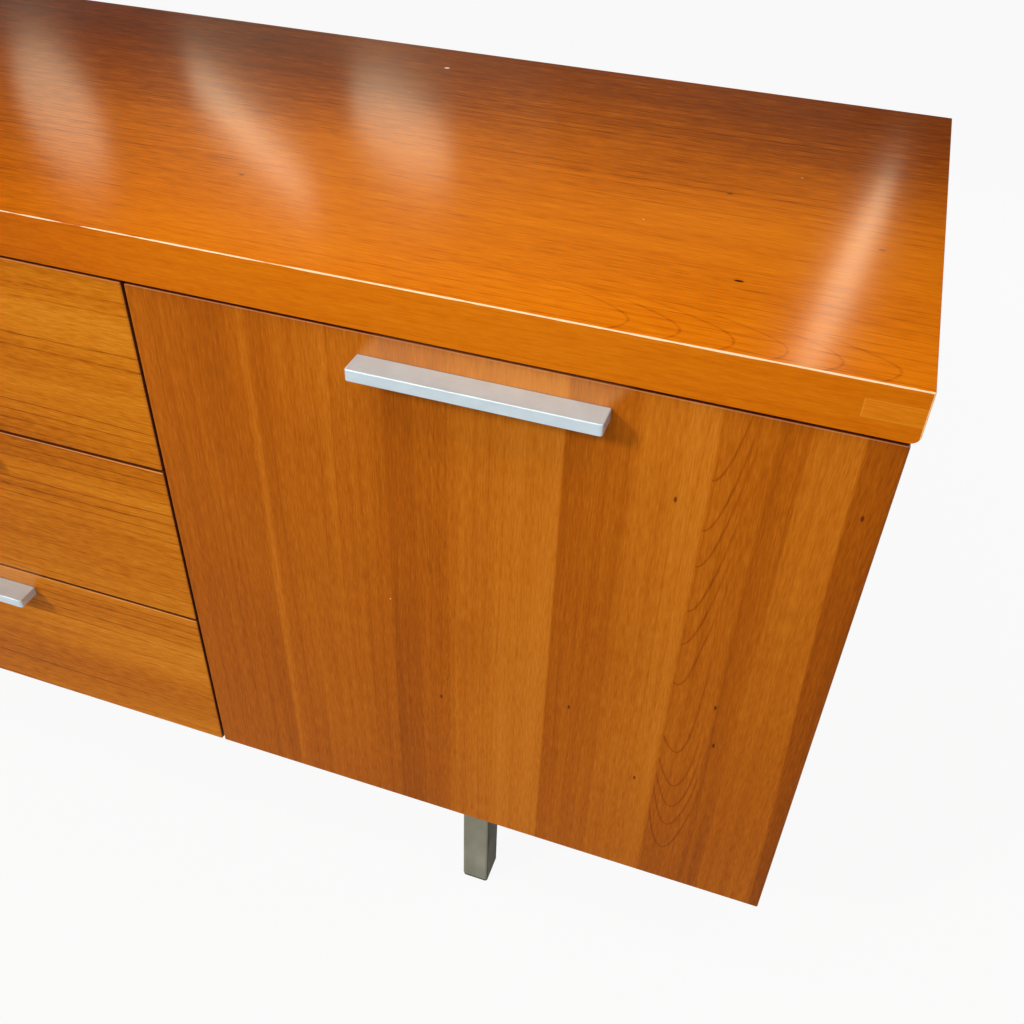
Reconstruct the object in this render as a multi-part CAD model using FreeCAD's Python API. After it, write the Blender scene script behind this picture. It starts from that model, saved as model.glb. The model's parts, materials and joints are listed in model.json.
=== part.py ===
import FreeCAD
import Part
import os

# A cherry sideboard: two cupboards with a bank of drawers between them, on four metal legs.
# Millimetres. The origin lies on the floor under the middle of the whole, handles included.
# X runs to the right along the front, Y runs back, Z runs up.

Vector = FreeCAD.Vector
ORIGIN = Vector(0, 0, 0)
X_AXIS = Vector(1, 0, 0)
Y_AXIS = Vector(0, 1, 0)
Z_AXIS = Vector(0, 0, 1)

# Top: a veneered panel framed by solid lippings with bridle joints at the corners
overall_height = 762.0
top_length = 1803.0
top_depth = 533.0
top_thickness = 40.0
lipping_width = 40.0
top_veneer = 1.2
top_arris = 1.0
top_end_round = 7.0
top_side_overhang = 4.0
top_front_overhang = 4.0
top_back_overhang = 4.0
tenon_share = 1 / 3

# Carcass boards
board = 19.0
back_thickness = 6.0
back_rebate = 9.0
carcass_drop = 1.0

# Doors and drawer fronts, which lie over the carcass edges
front_height = 562.0
front_thickness = 20.0
front_gap = 3.0
front_clearance = 3.0
front_arris = 1.5
top_reveal = 5.0
drawer_count = 3

# Bar handles with a finger groove underneath
handle_length = 197.5
handle_depth = 23.5
handle_height = 10.3
handle_drop = 18.5
handle_corner = 2.5
handle_arris = 1.0
handle_lip = 4.0
handle_root = 8.0
handle_end_wall = 7.0
groove_height = 6.5
groove_corner = 3.0
groove_round = 2.0
handle_screw_radius = 2.0
handle_screw_spacing_share = 0.81
handle_screw_bite_share = 0.75
handle_screw_end_gap = 0.5
handle_screw_head_radius = 4.0
handle_screw_head = 2.4
handle_screw_head_round = 1.2

# Drawer boxes
box_wall = 13.0
box_depth = 450.0
box_lift = 22.0
box_headroom = 23.0
front_housing = 6.0
back_housing = 4.0
back_inset = 10.0
bottom_thickness = 6.0
bottom_rise = 10.0
bottom_groove = 6.0
bottom_play = 0.2

# Telescopic runners
runner_space = 12.7
runner_height = 45.0
runner_gauge = 1.2
runner_play = 0.4
runner_length = 450.0
runner_setback = 2.0
runner_rise = 60.0
cabinet_lip = 4.0

# Pivot hinges at the top and bottom edges of the doors
pivot_inset = 7.0
pivot_plate = 3.0
pivot_plate_width = 12.0
pivot_arm = 64.0
pin_radius = 2.5
pin_reach = 12.0
pin_clearance = 0.05
bush_radius = 4.0
bush_depth = 16.0
bush_flange_radius = 5.2
bush_clearance = 0.05
thrust_gap = 0.1
pivot_screw_spacing = 22.0
pivot_screw_inset = 8.0

# Magnetic catches
catch_length = 46.0
catch_width = 14.0
catch_depth = 30.0
catch_round = 2.0
catch_drop = 60.0
strike_thickness = 1.2
strike_height = 38.0
strike_width = 16.0
strike_round = 3.0
catch_gap = 0.3

# Shelves on pins in rows of holes
shelf_play = 2.0
shelf_setback = 20.0
shelf_hole_radius = 2.5
shelf_hole_depth = 10.0
shelf_hole_pitch = 32.0
shelf_hole_count = 5
shelf_row_inset = 55.0
shelf_pin_clearance = 0.05
shelf_pin_end_gap = 0.5
shelf_pin_collar_radius = 4.5
shelf_pin_collar = 1.5
shelf_pin_stub_radius = 3.5
shelf_pin_stub = 9.0
shelf_pin_flat = 2.5

# Dowels that join the carcass boards
dowel_radius = 4.0
dowel_length = 32.0
dowel_bite = 12.0
dowel_clearance = 0.05
dowel_end_gap = 0.5
dowel_chamfer = 1.0
dowel_depth_shares = (0.12, 0.5, 0.88)

# Legs of rectangular tube with a welded plate, and their glides
leg_inset = 305.0
leg_width = 30.0
leg_depth = 34.0
leg_round = 3.5
leg_wall = 2.0
leg_plate = 4.0
leg_plate_width = 96.0
leg_plate_depth = 96.0
leg_plate_round = 8.0
leg_screw_inset = 13.0
glide_flange = 5.0
glide_inset = 0.5
glide_round = 2.5
glide_plug_share = 0.125
glide_clearance = 0.1

# Screws
screw_radius = 2.1
screw_bite = 14.0
screw_clearance = 0.1
screw_head_radius = 4.2
screw_head = 2.1

# One overrun serves all cuts
overrun = 5.0

# Levels
z_top = overall_height
z_top_core = z_top - top_veneer
z_top_under = z_top - top_thickness
z_tenon_low = z_top_under + top_thickness * tenon_share
z_tenon_high = z_tenon_low + top_thickness * tenon_share
z_front_top = z_top_under - top_reveal
z_front_bottom = z_front_top - front_height
z_carcass_bottom = z_front_bottom - carcass_drop
z_floor_board = z_carcass_bottom + board
z_leg_plate = z_carcass_bottom - leg_plate
z_glide_plug = glide_flange + (z_leg_plate - glide_flange) * glide_plug_share

# Places from front to back
y_handle_front = -(top_depth + handle_depth - top_front_overhang) / 2
y_front = y_handle_front + handle_depth
y_front_back = y_front + front_thickness
y_top_front = y_front - top_front_overhang
y_top_back = y_top_front + top_depth
y_carcass_front = y_front_back + front_clearance
y_carcass_back = y_top_back - top_back_overhang
y_back_panel = y_carcass_back - back_thickness
carcass_depth = y_back_panel - y_carcass_front

# Places from the middle to the right-hand end
x_end = top_length / 2
x_side_outer = x_end - top_side_overhang
x_side_inner = x_side_outer - board
front_width = (2 * x_side_outer - 2 * front_gap) / 3
x_bay_gap = (front_width + front_gap) / 2
x_partition_inner = x_bay_gap - board / 2
x_partition_outer = x_bay_gap + board / 2
x_door_inner = x_bay_gap + front_gap / 2
x_door_middle = front_width + front_gap
x_box_outer = x_partition_inner - runner_space
x_box_inner = x_box_outer - box_wall

drawer_front_height = (front_height - (drawer_count - 1) * front_gap) / drawer_count
box_height = drawer_front_height - box_lift - box_headroom
dowel_places = [y_carcass_front + carcass_depth * share for share in dowel_depth_shares]
x_pivot = x_side_outer - pivot_inset
y_pivot = y_front + front_thickness / 2


# Helpers
def block(x0, x1, y0, y1, z0, z1):
    """A box between two corners."""
    return Part.makeBox(x1 - x0, y1 - y0, z1 - z0, Vector(x0, y0, z0))


def rod(radius, length, start, direction):
    """A cylinder from a start point along a direction."""
    return Part.makeCylinder(radius, length, start, direction)


def edges_along(solid, axis):
    """The straight edges of a solid that run along an axis."""
    straight = [edge for edge in solid.Edges if isinstance(edge.Curve, Part.Line)]
    return [edge for edge in straight if abs(edge.Curve.Direction.dot(axis)) > 1 - Part.Precision.confusion()]


def edges_at(edges, coordinate, level):
    """Those of some edges whose middle lies at one level of a coordinate: x, y or z."""
    near = Part.Precision.approximation() + Part.Precision.confusion()
    return [edge for edge in edges if abs(getattr(edge.BoundBox.Center, coordinate) - level) < near]


def rounded_slab(x0, x1, y0, y1, z0, z1, radius):
    """A box with its four upright edges rounded."""
    slab = block(x0, x1, y0, y1, z0, z1)
    return slab.makeFillet(radius, edges_along(slab, Z_AXIS))


def bar_with_round_ends(start, end, width, z0, z1):
    """A flat bar between two points, with half-round ends, standing from z0 to z1."""
    along = (end - start).normalize()
    aside = Z_AXIS.cross(along) * (width / 2)
    tip = along * (width / 2)
    outline = Part.Wire([
        Part.makeLine(start + aside, end + aside),
        Part.Arc(end + aside, end + tip, end - aside).toShape(),
        Part.makeLine(end - aside, start - aside),
        Part.Arc(start - aside, start - tip, start + aside).toShape(),
    ])
    outline.translate(Z_AXIS * z0)
    return Part.Face(outline).extrude(Z_AXIS * (z1 - z0))


def extrusion(points, path):
    """A closed outline of straight lines, pushed along a path."""
    return Part.Face(Part.makePolygon(points + points[:1])).extrude(path)


def mirrored(shape):
    """The left-hand twin of a right-hand piece."""
    return shape.mirror(ORIGIN, X_AXIS)


def both_sides(right_hand):
    """A right-hand piece and its left-hand twin as one group."""
    return Part.makeCompound([right_hand, mirrored(right_hand)])


def export(node, shape):
    """Write one node, which holds one solid or a group of them."""
    shape.exportStep(f"parts/{node}.step")


def export_pair(node, right_hand):
    """Write a right-hand piece and its left-hand twin as two nodes."""
    export(f"{node}_right", right_hand)
    export(f"{node}_left", mirrored(right_hand))


# Dowels and their holes
def dowel(joint, direction):
    """A chamfered dowel that bites past a joint point along a direction."""
    pin = rod(dowel_radius, dowel_length, joint - direction * (dowel_length - dowel_bite), direction)
    return pin.makeChamfer(dowel_chamfer, [edge for edge in pin.Edges if edge.Closed])


def dowel_hole(joint, direction):
    """The hole for such a dowel, in both boards at once."""
    start = joint - direction * (dowel_length - dowel_bite + dowel_end_gap)
    return rod(dowel_radius + dowel_clearance, dowel_length + 2 * dowel_end_gap, start, direction)


def dowel_joints():
    """Joint points and directions of every dowel on both sides of the middle."""
    joints = []
    for y in dowel_places:
        for side in (1, -1):
            joints.append((Vector(side * x_side_inner, y, z_carcass_bottom + board / 2), X_AXIS * side))
            joints.append((Vector(side * (x_side_inner + board / 2), y, z_top_under), Z_AXIS))
            joints.append((Vector(side * x_bay_gap, y, z_top_under), Z_AXIS))
            joints.append((Vector(side * x_bay_gap, y, z_floor_board), Z_AXIS * -1))
    return joints


dowel_holes = [dowel_hole(joint, direction) for joint, direction in dowel_joints()]


# Screws that point upward, with countersunk heads level with the plate's lower face
def screw(seat, shank):
    head = Part.makeCone(screw_head_radius, screw_radius, screw_head, seat, Z_AXIS)
    return head.fuse(rod(screw_radius, shank, seat, Z_AXIS)).removeSplitter()


def screw_hole(seat, depth):
    sink = Part.makeCone(
        screw_head_radius + screw_clearance, screw_radius + screw_clearance, screw_head, seat, Z_AXIS
    )
    bore = rod(screw_radius + screw_clearance, depth + overrun, seat - Z_AXIS * overrun, Z_AXIS)
    return sink.fuse(bore).removeSplitter()


# Places of the legs, their plates and screws
def leg_frames():
    """For each leg: its name, its middle, its outer face and the direction from that face inward."""
    x_leg = x_side_outer - leg_inset
    return [
        ("front_right", x_leg, y_carcass_front, 1),
        ("front_left", -x_leg, y_carcass_front, 1),
        ("rear_right", x_leg, y_back_panel, -1),
        ("rear_left", -x_leg, y_back_panel, -1),
    ]


def leg_screw_seats():
    seats = []
    for _, x, y, inward in leg_frames():
        for side in (1, -1):
            for reach in (leg_screw_inset, leg_plate_depth - leg_screw_inset):
                x_seat = x + side * (leg_plate_width / 2 - leg_screw_inset)
                seats.append(Vector(x_seat, y + inward * reach, z_leg_plate))
    return seats


# Places of the pivot plates' screws
def pivot_screw_offsets():
    last = pivot_arm - pivot_screw_inset
    return (last - pivot_screw_spacing, last)


def upper_pivot_seats():
    z = z_top_under - pivot_plate
    return [Vector(side * (x_pivot - reach), y_pivot, z) for side in (1, -1) for reach in pivot_screw_offsets()]


def lower_pivot_seats():
    z = z_carcass_bottom - pivot_plate
    return [Vector(side * x_pivot, y_pivot + reach, z) for side in (1, -1) for reach in pivot_screw_offsets()]


plate_screw_seats = leg_screw_seats() + upper_pivot_seats() + lower_pivot_seats()
plate_screw_holes = [screw_hole(seat, leg_plate + screw_bite) for seat in plate_screw_seats]


# Top
def top_panel():
    """The core between the lippings, and the face veneer that covers core and lippings alike."""
    core = block(
        -x_end + lipping_width, x_end - lipping_width,
        y_top_front + lipping_width, y_top_back - lipping_width, z_top_under, z_top_core,
    )
    veneer = block(-x_end, x_end, y_top_front, y_top_back, z_top_core, z_top)
    veneer = veneer.makeFillet(top_arris, edges_at(veneer.Edges, "z", z_top))
    return core.fuse(veneer).removeSplitter().cut(dowel_holes)


def long_lipping(y0, y1):
    """The front or back lipping, with an open mortise at each end and rounded lower ends."""
    bar = block(-x_end, x_end, y0, y1, z_top_under, z_top_core)
    bar = bar.makeFillet(top_end_round, edges_at(edges_along(bar, Y_AXIS), "z", z_top_under))
    mortises = [
        block(side_start, side_start + lipping_width, y0, y1, z_tenon_low, z_tenon_high)
        for side_start in (-x_end, x_end - lipping_width)
    ]
    return bar.cut(mortises + plate_screw_holes)


def end_lipping():
    """The right-hand end lipping, with a tenon through each long lipping."""
    bar = block(x_end - lipping_width, x_end, y_top_front, y_top_back, z_top_under, z_top_core)
    lower_edges = edges_at(edges_along(bar, Y_AXIS), "z", z_top_under)
    bar = bar.makeFillet(top_end_round, edges_at(lower_edges, "x", x_end))
    shoulders = []
    for y0 in (y_top_front, y_top_back - lipping_width):
        for z0, z1 in ((z_top_under, z_tenon_low), (z_tenon_high, z_top_core)):
            shoulders.append(block(x_end - lipping_width, x_end, y0, y0 + lipping_width, z0, z1))
    return bar.cut(shoulders + dowel_holes)


# Carcass
def shelf_rows():
    """Front and back places of the rows of shelf holes, and the level of their middle holes."""
    middle = (z_floor_board + z_top_under) / 2
    return (y_carcass_front + shelf_row_inset, y_back_panel - shelf_row_inset), middle


def shelf_holes(x_face, direction):
    """The rows of holes that run from a cupboard wall's face into the wall."""
    rows, middle = shelf_rows()
    lowest = middle - shelf_hole_pitch * (shelf_hole_count - 1) / 2
    return [
        rod(shelf_hole_radius, shelf_hole_depth, Vector(x_face, y, lowest + index * shelf_hole_pitch), direction)
        for y in rows for index in range(shelf_hole_count)
    ]


def side_panel():
    panel = block(x_side_inner, x_side_outer, y_carcass_front, y_carcass_back, z_carcass_bottom, z_top_under)
    rebate = block(
        x_side_inner, x_side_inner + back_rebate, y_back_panel, y_carcass_back, z_carcass_bottom, z_top_under
    )
    return panel.cut([rebate] + shelf_holes(x_side_inner, X_AXIS) + dowel_holes + plate_screw_holes)


def partition():
    panel = block(x_partition_inner, x_partition_outer, y_carcass_front, y_back_panel, z_floor_board, z_top_under)
    return panel.cut(shelf_holes(x_partition_outer, X_AXIS * -1) + dowel_holes)


def bottom_panel():
    panel = block(-x_side_inner, x_side_inner, y_carcass_front, y_back_panel, z_carcass_bottom, z_floor_board)
    return panel.cut(dowel_holes + plate_screw_holes)


def back_panel():
    reach = x_side_inner + back_rebate
    return block(-reach, reach, y_back_panel, y_carcass_back, z_carcass_bottom, z_top_under)


# Shelves
def shelf():
    rows, middle = shelf_rows()
    z = middle + shelf_pin_flat
    return block(
        x_partition_outer + shelf_play, x_side_inner - shelf_play,
        y_carcass_front + shelf_setback, y_back_panel - shelf_play, z, z + board,
    )


def shelf_pin(face, into_wall):
    """A pin in a wall's hole, with a collar on the face and a stub with a flat for the shelf."""
    shaft = rod(
        shelf_hole_radius - shelf_pin_clearance, shelf_hole_depth - shelf_pin_end_gap, face, into_wall
    )
    collar = rod(shelf_pin_collar_radius, shelf_pin_collar, face, into_wall * -1)
    stub = rod(shelf_pin_stub_radius, shelf_pin_collar + shelf_pin_stub, face, into_wall * -1)
    above_flat = Part.makeBox(
        2 * shelf_pin_stub, 2 * shelf_pin_stub_radius, shelf_pin_stub_radius,
        face + Vector(-shelf_pin_stub, -shelf_pin_stub_radius, shelf_pin_flat) - into_wall * (
            shelf_pin_collar + shelf_pin_stub),
    )
    return shaft.fuse([collar, stub.cut(above_flat)]).removeSplitter()


def shelf_pins():
    rows, middle = shelf_rows()
    pins = []
    for y in rows:
        for side in (1, -1):
            pins.append(shelf_pin(Vector(side * x_side_inner, y, middle), X_AXIS * side))
            pins.append(shelf_pin(Vector(side * x_partition_outer, y, middle), X_AXIS * -side))
    return Part.makeCompound(pins)


# Fronts and handles
def front_board(x0, x1, z0, z1):
    """A door or drawer front with all its edges eased."""
    slab = block(x0, x1, y_front, y_front_back, z0, z1)
    return slab.makeFillet(front_arris, slab.Edges)


def handle(x_middle, z_front):
    """A bar handle below the upper edge of a front, with its finger groove closed at both ends."""
    z1 = z_front - handle_drop
    z0 = z1 - handle_height
    x0 = x_middle - handle_length / 2
    x1 = x0 + handle_length
    bar = block(x0, x1, y_handle_front, y_front, z0, z1)
    bar = bar.makeFillet(handle_corner, edges_at(edges_along(bar, Z_AXIS), "y", y_handle_front))
    rims = edges_at(bar.Edges, "z", z1) + edges_at(bar.Edges, "z", z0)
    front_rims = [edge for edge in rims if edge.BoundBox.Center.y < y_front - handle_arris]
    bar = bar.makeFillet(handle_arris, front_rims)
    groove = rounded_slab(
        x0 + handle_end_wall, x1 - handle_end_wall, y_handle_front + handle_lip, y_front - handle_root,
        z0 - overrun, z0 + groove_height, groove_corner,
    )
    groove = groove.makeFillet(groove_round, edges_at(groove.Edges, "z", z0 + groove_height))
    return bar.cut([groove] + handle_screw_holes(x_middle, z_front))


def handle_screw_seats(x_middle, z_front):
    """Points on the back of a front where the heads of its handle's screws sit."""
    z = z_front - handle_drop - handle_height / 2
    reach = handle_length * handle_screw_spacing_share / 2
    return [Vector(x_middle + side * reach, y_front_back, z) for side in (1, -1)]


def handle_screw_holes(x_middle, z_front):
    """The holes through a front and into the root of its handle."""
    depth = front_thickness + handle_root * handle_screw_bite_share + handle_screw_end_gap
    return [
        rod(handle_screw_radius + screw_clearance, depth, seat, Y_AXIS * -1)
        for seat in handle_screw_seats(x_middle, z_front)
    ]


def handle_screw(seat):
    """A pan-head screw from the back of a front into its handle."""
    head = rod(handle_screw_head_radius, handle_screw_head, seat, Y_AXIS)
    head = head.makeFillet(handle_screw_head_round, edges_at(head.Edges, "y", y_front_back + handle_screw_head))
    shank = rod(handle_screw_radius, front_thickness + handle_root * handle_screw_bite_share, seat, Y_AXIS * -1)
    return head.fuse(shank).removeSplitter()


def handle_set(x_middle, z_front):
    """A handle and its two screws as one group."""
    screws = [handle_screw(seat) for seat in handle_screw_seats(x_middle, z_front)]
    return Part.makeCompound([handle(x_middle, z_front)] + screws)


# Doors with their pivots and catches
def door():
    slab = front_board(x_door_inner, x_side_outer, z_front_bottom, z_front_top)
    bore = bush_radius + bush_clearance
    bores = [
        rod(bore, bush_depth, Vector(x_pivot, y_pivot, z_front_top), Z_AXIS * -1),
        rod(bore, bush_depth, Vector(x_pivot, y_pivot, z_front_bottom), Z_AXIS),
    ]
    return slab.cut(bores + handle_screw_holes(x_door_middle, z_front_top))


def pivot_bush(z_edge, into_door):
    """A flanged bush in one end of the door."""
    centre = Vector(x_pivot, y_pivot, z_edge)
    flange = rod(bush_flange_radius, carcass_drop - thrust_gap, centre, into_door * -1)
    body = rod(bush_radius, bush_depth, centre, into_door)
    bore = rod(
        pin_radius + pin_clearance, bush_depth + 2 * carcass_drop, centre - into_door * carcass_drop, into_door
    )
    return body.fuse(flange).removeSplitter().cut(bore)


def pivot_bushes():
    return Part.makeCompound([
        pivot_bush(z_front_top, Z_AXIS * -1),
        pivot_bush(z_front_bottom, Z_AXIS),
    ])


def upper_pivot_plate():
    """A bar in the reveal under the top, with a pin that points down into the door."""
    pin_place = Vector(x_pivot, y_pivot, 0)
    plate = bar_with_round_ends(
        pin_place, pin_place - X_AXIS * pivot_arm, pivot_plate_width, z_top_under - pivot_plate, z_top_under
    )
    pin = rod(pin_radius, z_top_under - z_front_top + pin_reach, pin_place + Z_AXIS * z_top_under, Z_AXIS * -1)
    return plate.fuse(pin).removeSplitter().cut(plate_screw_holes)


def lower_pivot_plate():
    """A bar under the side panel's lower edge, with a pin that points up into the door."""
    pin_place = Vector(x_pivot, y_pivot, 0)
    z0 = z_carcass_bottom - pivot_plate
    plate = bar_with_round_ends(
        pin_place, pin_place + Y_AXIS * pivot_arm, pivot_plate_width, z0, z_carcass_bottom
    )
    pin = rod(pin_radius, z_front_bottom - z0 + pin_reach, pin_place + Z_AXIS * z0, Z_AXIS)
    return plate.fuse(pin).removeSplitter().cut(plate_screw_holes)


def catch():
    """A magnetic catch on the partition, whose face stands a little proud to meet the strike."""
    z1 = z_top_under - catch_drop
    y0 = y_front_back + strike_thickness + catch_gap
    return rounded_slab(
        x_partition_outer, x_partition_outer + catch_width, y0, y0 + catch_depth,
        z1 - catch_length, z1, catch_round,
    )


def strike():
    """The steel strike plate on the back of the door, opposite the catch."""
    z_middle = z_top_under - catch_drop - catch_length / 2
    x_middle = x_partition_outer + catch_width / 2
    plate = block(
        x_middle - strike_width / 2, x_middle + strike_width / 2,
        y_front_back, y_front_back + strike_thickness,
        z_middle - strike_height / 2, z_middle + strike_height / 2,
    )
    return plate.makeFillet(strike_round, edges_along(plate, Y_AXIS))


# Drawers
def drawer_levels(index):
    """Lower and upper edge of a drawer's front, counted from the top drawer."""
    z1 = z_front_top - index * (drawer_front_height + front_gap)
    return z1 - drawer_front_height, z1


def box_levels(index):
    z0 = drawer_levels(index)[0] + box_lift
    return z0, z0 + box_height


y_box_back = y_front_back + box_depth
y_box_wall = y_box_back - back_inset - box_wall


def drawer_side(index):
    """The right-hand side of a box, housed in the front, grooved for the bottom and for the back."""
    z0, z1 = box_levels(index)
    z_groove = z0 + bottom_rise
    side = block(x_box_inner, x_box_outer, y_front_back - front_housing, y_box_back, z0, z1)
    groove = block(
        x_box_inner, x_box_inner + bottom_groove, y_front_back - front_housing, y_box_back,
        z_groove, z_groove + bottom_thickness + bottom_play,
    )
    housing = block(x_box_inner, x_box_inner + back_housing, y_box_wall, y_box_wall + box_wall, z_groove, z1)
    return side.cut([groove, housing])


def drawer_front(index):
    """A drawer front, housed for the box sides and grooved for the bottom."""
    z_low, z_high = drawer_levels(index)
    z0, z1 = box_levels(index)
    z_groove = z0 + bottom_rise
    slab = front_board(-front_width / 2, front_width / 2, z_low, z_high)
    y0 = y_front_back - front_housing
    housings = [
        block(x0, x0 + box_wall, y0, y_front_back, z0, z1) for x0 in (x_box_inner, -x_box_outer)
    ]
    groove = block(
        -x_box_inner, x_box_inner, y0, y_front_back, z_groove, z_groove + bottom_thickness + bottom_play
    )
    return slab.cut(housings + [groove] + handle_screw_holes(0, z_high))


def drawer_back(index):
    z0, z1 = box_levels(index)
    reach = x_box_inner + back_housing
    return block(-reach, reach, y_box_wall, y_box_wall + box_wall, z0 + bottom_rise + bottom_thickness, z1)


def drawer_bottom(index):
    z = box_levels(index)[0] + bottom_rise
    reach = x_box_inner + bottom_groove - bottom_play
    return block(-reach, reach, y_front_back - front_housing + bottom_play, y_box_back, z, z + bottom_thickness)


# Runners: three nested steel sections on each side of a drawer, drawn for the right-hand side
y_runner = y_carcass_front + runner_setback
runner_path = Y_AXIS * runner_length
middle_half_height = runner_height / 2 - runner_gauge - runner_play
drawer_half_height = middle_half_height - runner_gauge - runner_play
x_runner_web = x_box_outer + runner_space / 2


def runner_level(index):
    return box_levels(index)[0] + runner_rise


def channel(x_back, x_lip, half_height, z_middle):
    """A channel section with its back at x_back and its flanges reaching to x_lip."""
    inward = runner_gauge if x_lip > x_back else -runner_gauge
    corners = [
        (x_lip, half_height), (x_back, half_height), (x_back, -half_height), (x_lip, -half_height),
        (x_lip, runner_gauge - half_height), (x_back + inward, runner_gauge - half_height),
        (x_back + inward, half_height - runner_gauge), (x_lip, half_height - runner_gauge),
    ]
    points = [Vector(x, y_runner, z_middle + height) for x, height in corners]
    return extrusion(points, runner_path)


def cabinet_member(index):
    return both_sides(
        channel(x_partition_inner, x_box_outer + cabinet_lip, runner_height / 2, runner_level(index))
    )


def middle_member(index):
    """Two channels back to back, so that one half runs in the cabinet's and the other holds the drawer's."""
    z = runner_level(index)
    toward_cabinet = channel(
        x_runner_web - runner_gauge / 2, x_partition_inner - runner_gauge - runner_play, middle_half_height, z
    )
    toward_drawer = channel(
        x_runner_web + runner_gauge / 2, x_box_outer + runner_gauge + runner_play, middle_half_height, z
    )
    return both_sides(toward_cabinet.fuse(toward_drawer).removeSplitter())


def drawer_member(index):
    reach = x_runner_web - runner_gauge / 2 - runner_play
    return both_sides(channel(x_box_outer, reach, drawer_half_height, runner_level(index)))


# Legs
def leg(x, y_face, inward):
    """A tube under a cupboard, its outer face level with the carcass, welded to a screwed plate."""
    y0, y1 = sorted((y_face, y_face + inward * leg_depth))
    tube = rounded_slab(
        x - leg_width / 2, x + leg_width / 2, y0, y1, glide_flange, z_leg_plate, leg_round
    )
    bore = rounded_slab(
        x - leg_width / 2 + leg_wall, x + leg_width / 2 - leg_wall, y0 + leg_wall, y1 - leg_wall,
        glide_flange, z_leg_plate, leg_round - leg_wall,
    )
    y0, y1 = sorted((y_face, y_face + inward * leg_plate_depth))
    plate = rounded_slab(
        x - leg_plate_width / 2, x + leg_plate_width / 2, y0, y1, z_leg_plate, z_carcass_bottom, leg_plate_round
    )
    return tube.cut(bore).fuse(plate).removeSplitter().cut(plate_screw_holes)


def glide(x, y_face, inward):
    """A plastic foot with a rounded sole, whose plug sits in the leg's tube."""
    y0, y1 = sorted((y_face, y_face + inward * leg_depth))
    foot = rounded_slab(
        x - leg_width / 2 + glide_inset, x + leg_width / 2 - glide_inset, y0 + glide_inset, y1 - glide_inset,
        0, glide_flange, leg_round - glide_inset,
    )
    foot = foot.makeFillet(glide_round, edges_at(foot.Edges, "z", 0))
    inset = leg_wall + glide_clearance
    plug = rounded_slab(
        x - leg_width / 2 + inset, x + leg_width / 2 - inset, y0 + inset, y1 - inset,
        glide_flange, z_glide_plug, leg_round - leg_wall,
    )
    return foot.fuse(plug).removeSplitter()


def fixing_screws():
    plates = [leg_plate] * len(leg_screw_seats())
    plates += [pivot_plate] * (len(upper_pivot_seats()) + len(lower_pivot_seats()))
    return Part.makeCompound([
        screw(seat, plate + screw_bite) for seat, plate in zip(plate_screw_seats, plates)
    ])


# Write every node
os.makedirs("parts", exist_ok=True)

export("top_panel", top_panel())
export("top_front_lipping", long_lipping(y_top_front, y_top_front + lipping_width))
export("top_back_lipping", long_lipping(y_top_back - lipping_width, y_top_back))
right_end_lipping = end_lipping()
export("top_end_lipping_right", right_end_lipping)
export("top_end_lipping_left", mirrored(right_end_lipping))

export_pair("side_panel", side_panel())
export_pair("partition", partition())
export("bottom_panel", bottom_panel())
export("back_panel", back_panel())
export("carcass_dowels", Part.makeCompound([dowel(joint, direction) for joint, direction in dowel_joints()]))
export_pair("shelf", shelf())
export("shelf_pins", shelf_pins())

export_pair("door", door())
export_pair("door_handle", handle_set(x_door_middle, z_front_top))
export_pair("pivot_bushes", pivot_bushes())
export_pair("strike_plate", strike())
export("upper_pivot_plates", both_sides(upper_pivot_plate()))
export("lower_pivot_plates", both_sides(lower_pivot_plate()))
export("magnetic_catches", both_sides(catch()))

for index in range(drawer_count):
    drawer = f"drawer_{index + 1}"
    right_side = drawer_side(index)
    export(f"{drawer}_front", drawer_front(index))
    export(f"{drawer}_side_right", right_side)
    export(f"{drawer}_side_left", mirrored(right_side))
    export(f"{drawer}_back", drawer_back(index))
    export(f"{drawer}_bottom", drawer_bottom(index))
    export(f"{drawer}_handle", handle_set(0, drawer_levels(index)[1]))
    export(f"{drawer}_cabinet_runners", cabinet_member(index))
    export(f"{drawer}_middle_runners", middle_member(index))
    export(f"{drawer}_box_runners", drawer_member(index))

for name, x, y, inward in leg_frames():
    export(f"leg_{name}", leg(x, y, inward))
export("glides", Part.makeCompound([glide(x, y, inward) for _, x, y, inward in leg_frames()]))
export("fixing_screws", fixing_screws())
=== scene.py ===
import json
import math
import bpy
from mathutils import Matrix, Vector


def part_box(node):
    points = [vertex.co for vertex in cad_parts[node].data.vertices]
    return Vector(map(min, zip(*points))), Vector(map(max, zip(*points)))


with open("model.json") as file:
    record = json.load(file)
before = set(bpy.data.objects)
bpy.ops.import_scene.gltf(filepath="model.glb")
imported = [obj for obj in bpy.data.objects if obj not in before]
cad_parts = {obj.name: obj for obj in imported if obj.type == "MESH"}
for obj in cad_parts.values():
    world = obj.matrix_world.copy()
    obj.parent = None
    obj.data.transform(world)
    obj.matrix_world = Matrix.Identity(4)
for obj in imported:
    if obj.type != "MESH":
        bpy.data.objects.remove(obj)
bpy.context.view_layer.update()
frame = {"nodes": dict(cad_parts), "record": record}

# Places on the sideboard at rest, in metres, from the frame
TOP_LOW, TOP_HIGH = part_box("top_panel")
TOP_FRONT, TOP_UNDER = TOP_LOW.yz
TOP_END, TOP_BACK, TOP_FACE = TOP_HIGH
TENON_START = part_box("top_end_lipping_right")[0].x
TENON_MIDDLE = (TOP_FACE + TOP_UNDER) / 2
TENON_SHARE = 1 / 3
TENON_HALF = (TOP_FACE - TOP_UNDER) * TENON_SHARE / 2
DOOR_LOW, DOOR_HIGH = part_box("door_right")
DOOR_INNER, DOOR_FRONT = DOOR_LOW.xy
DOOR_OUTER = DOOR_HIGH.x
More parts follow.
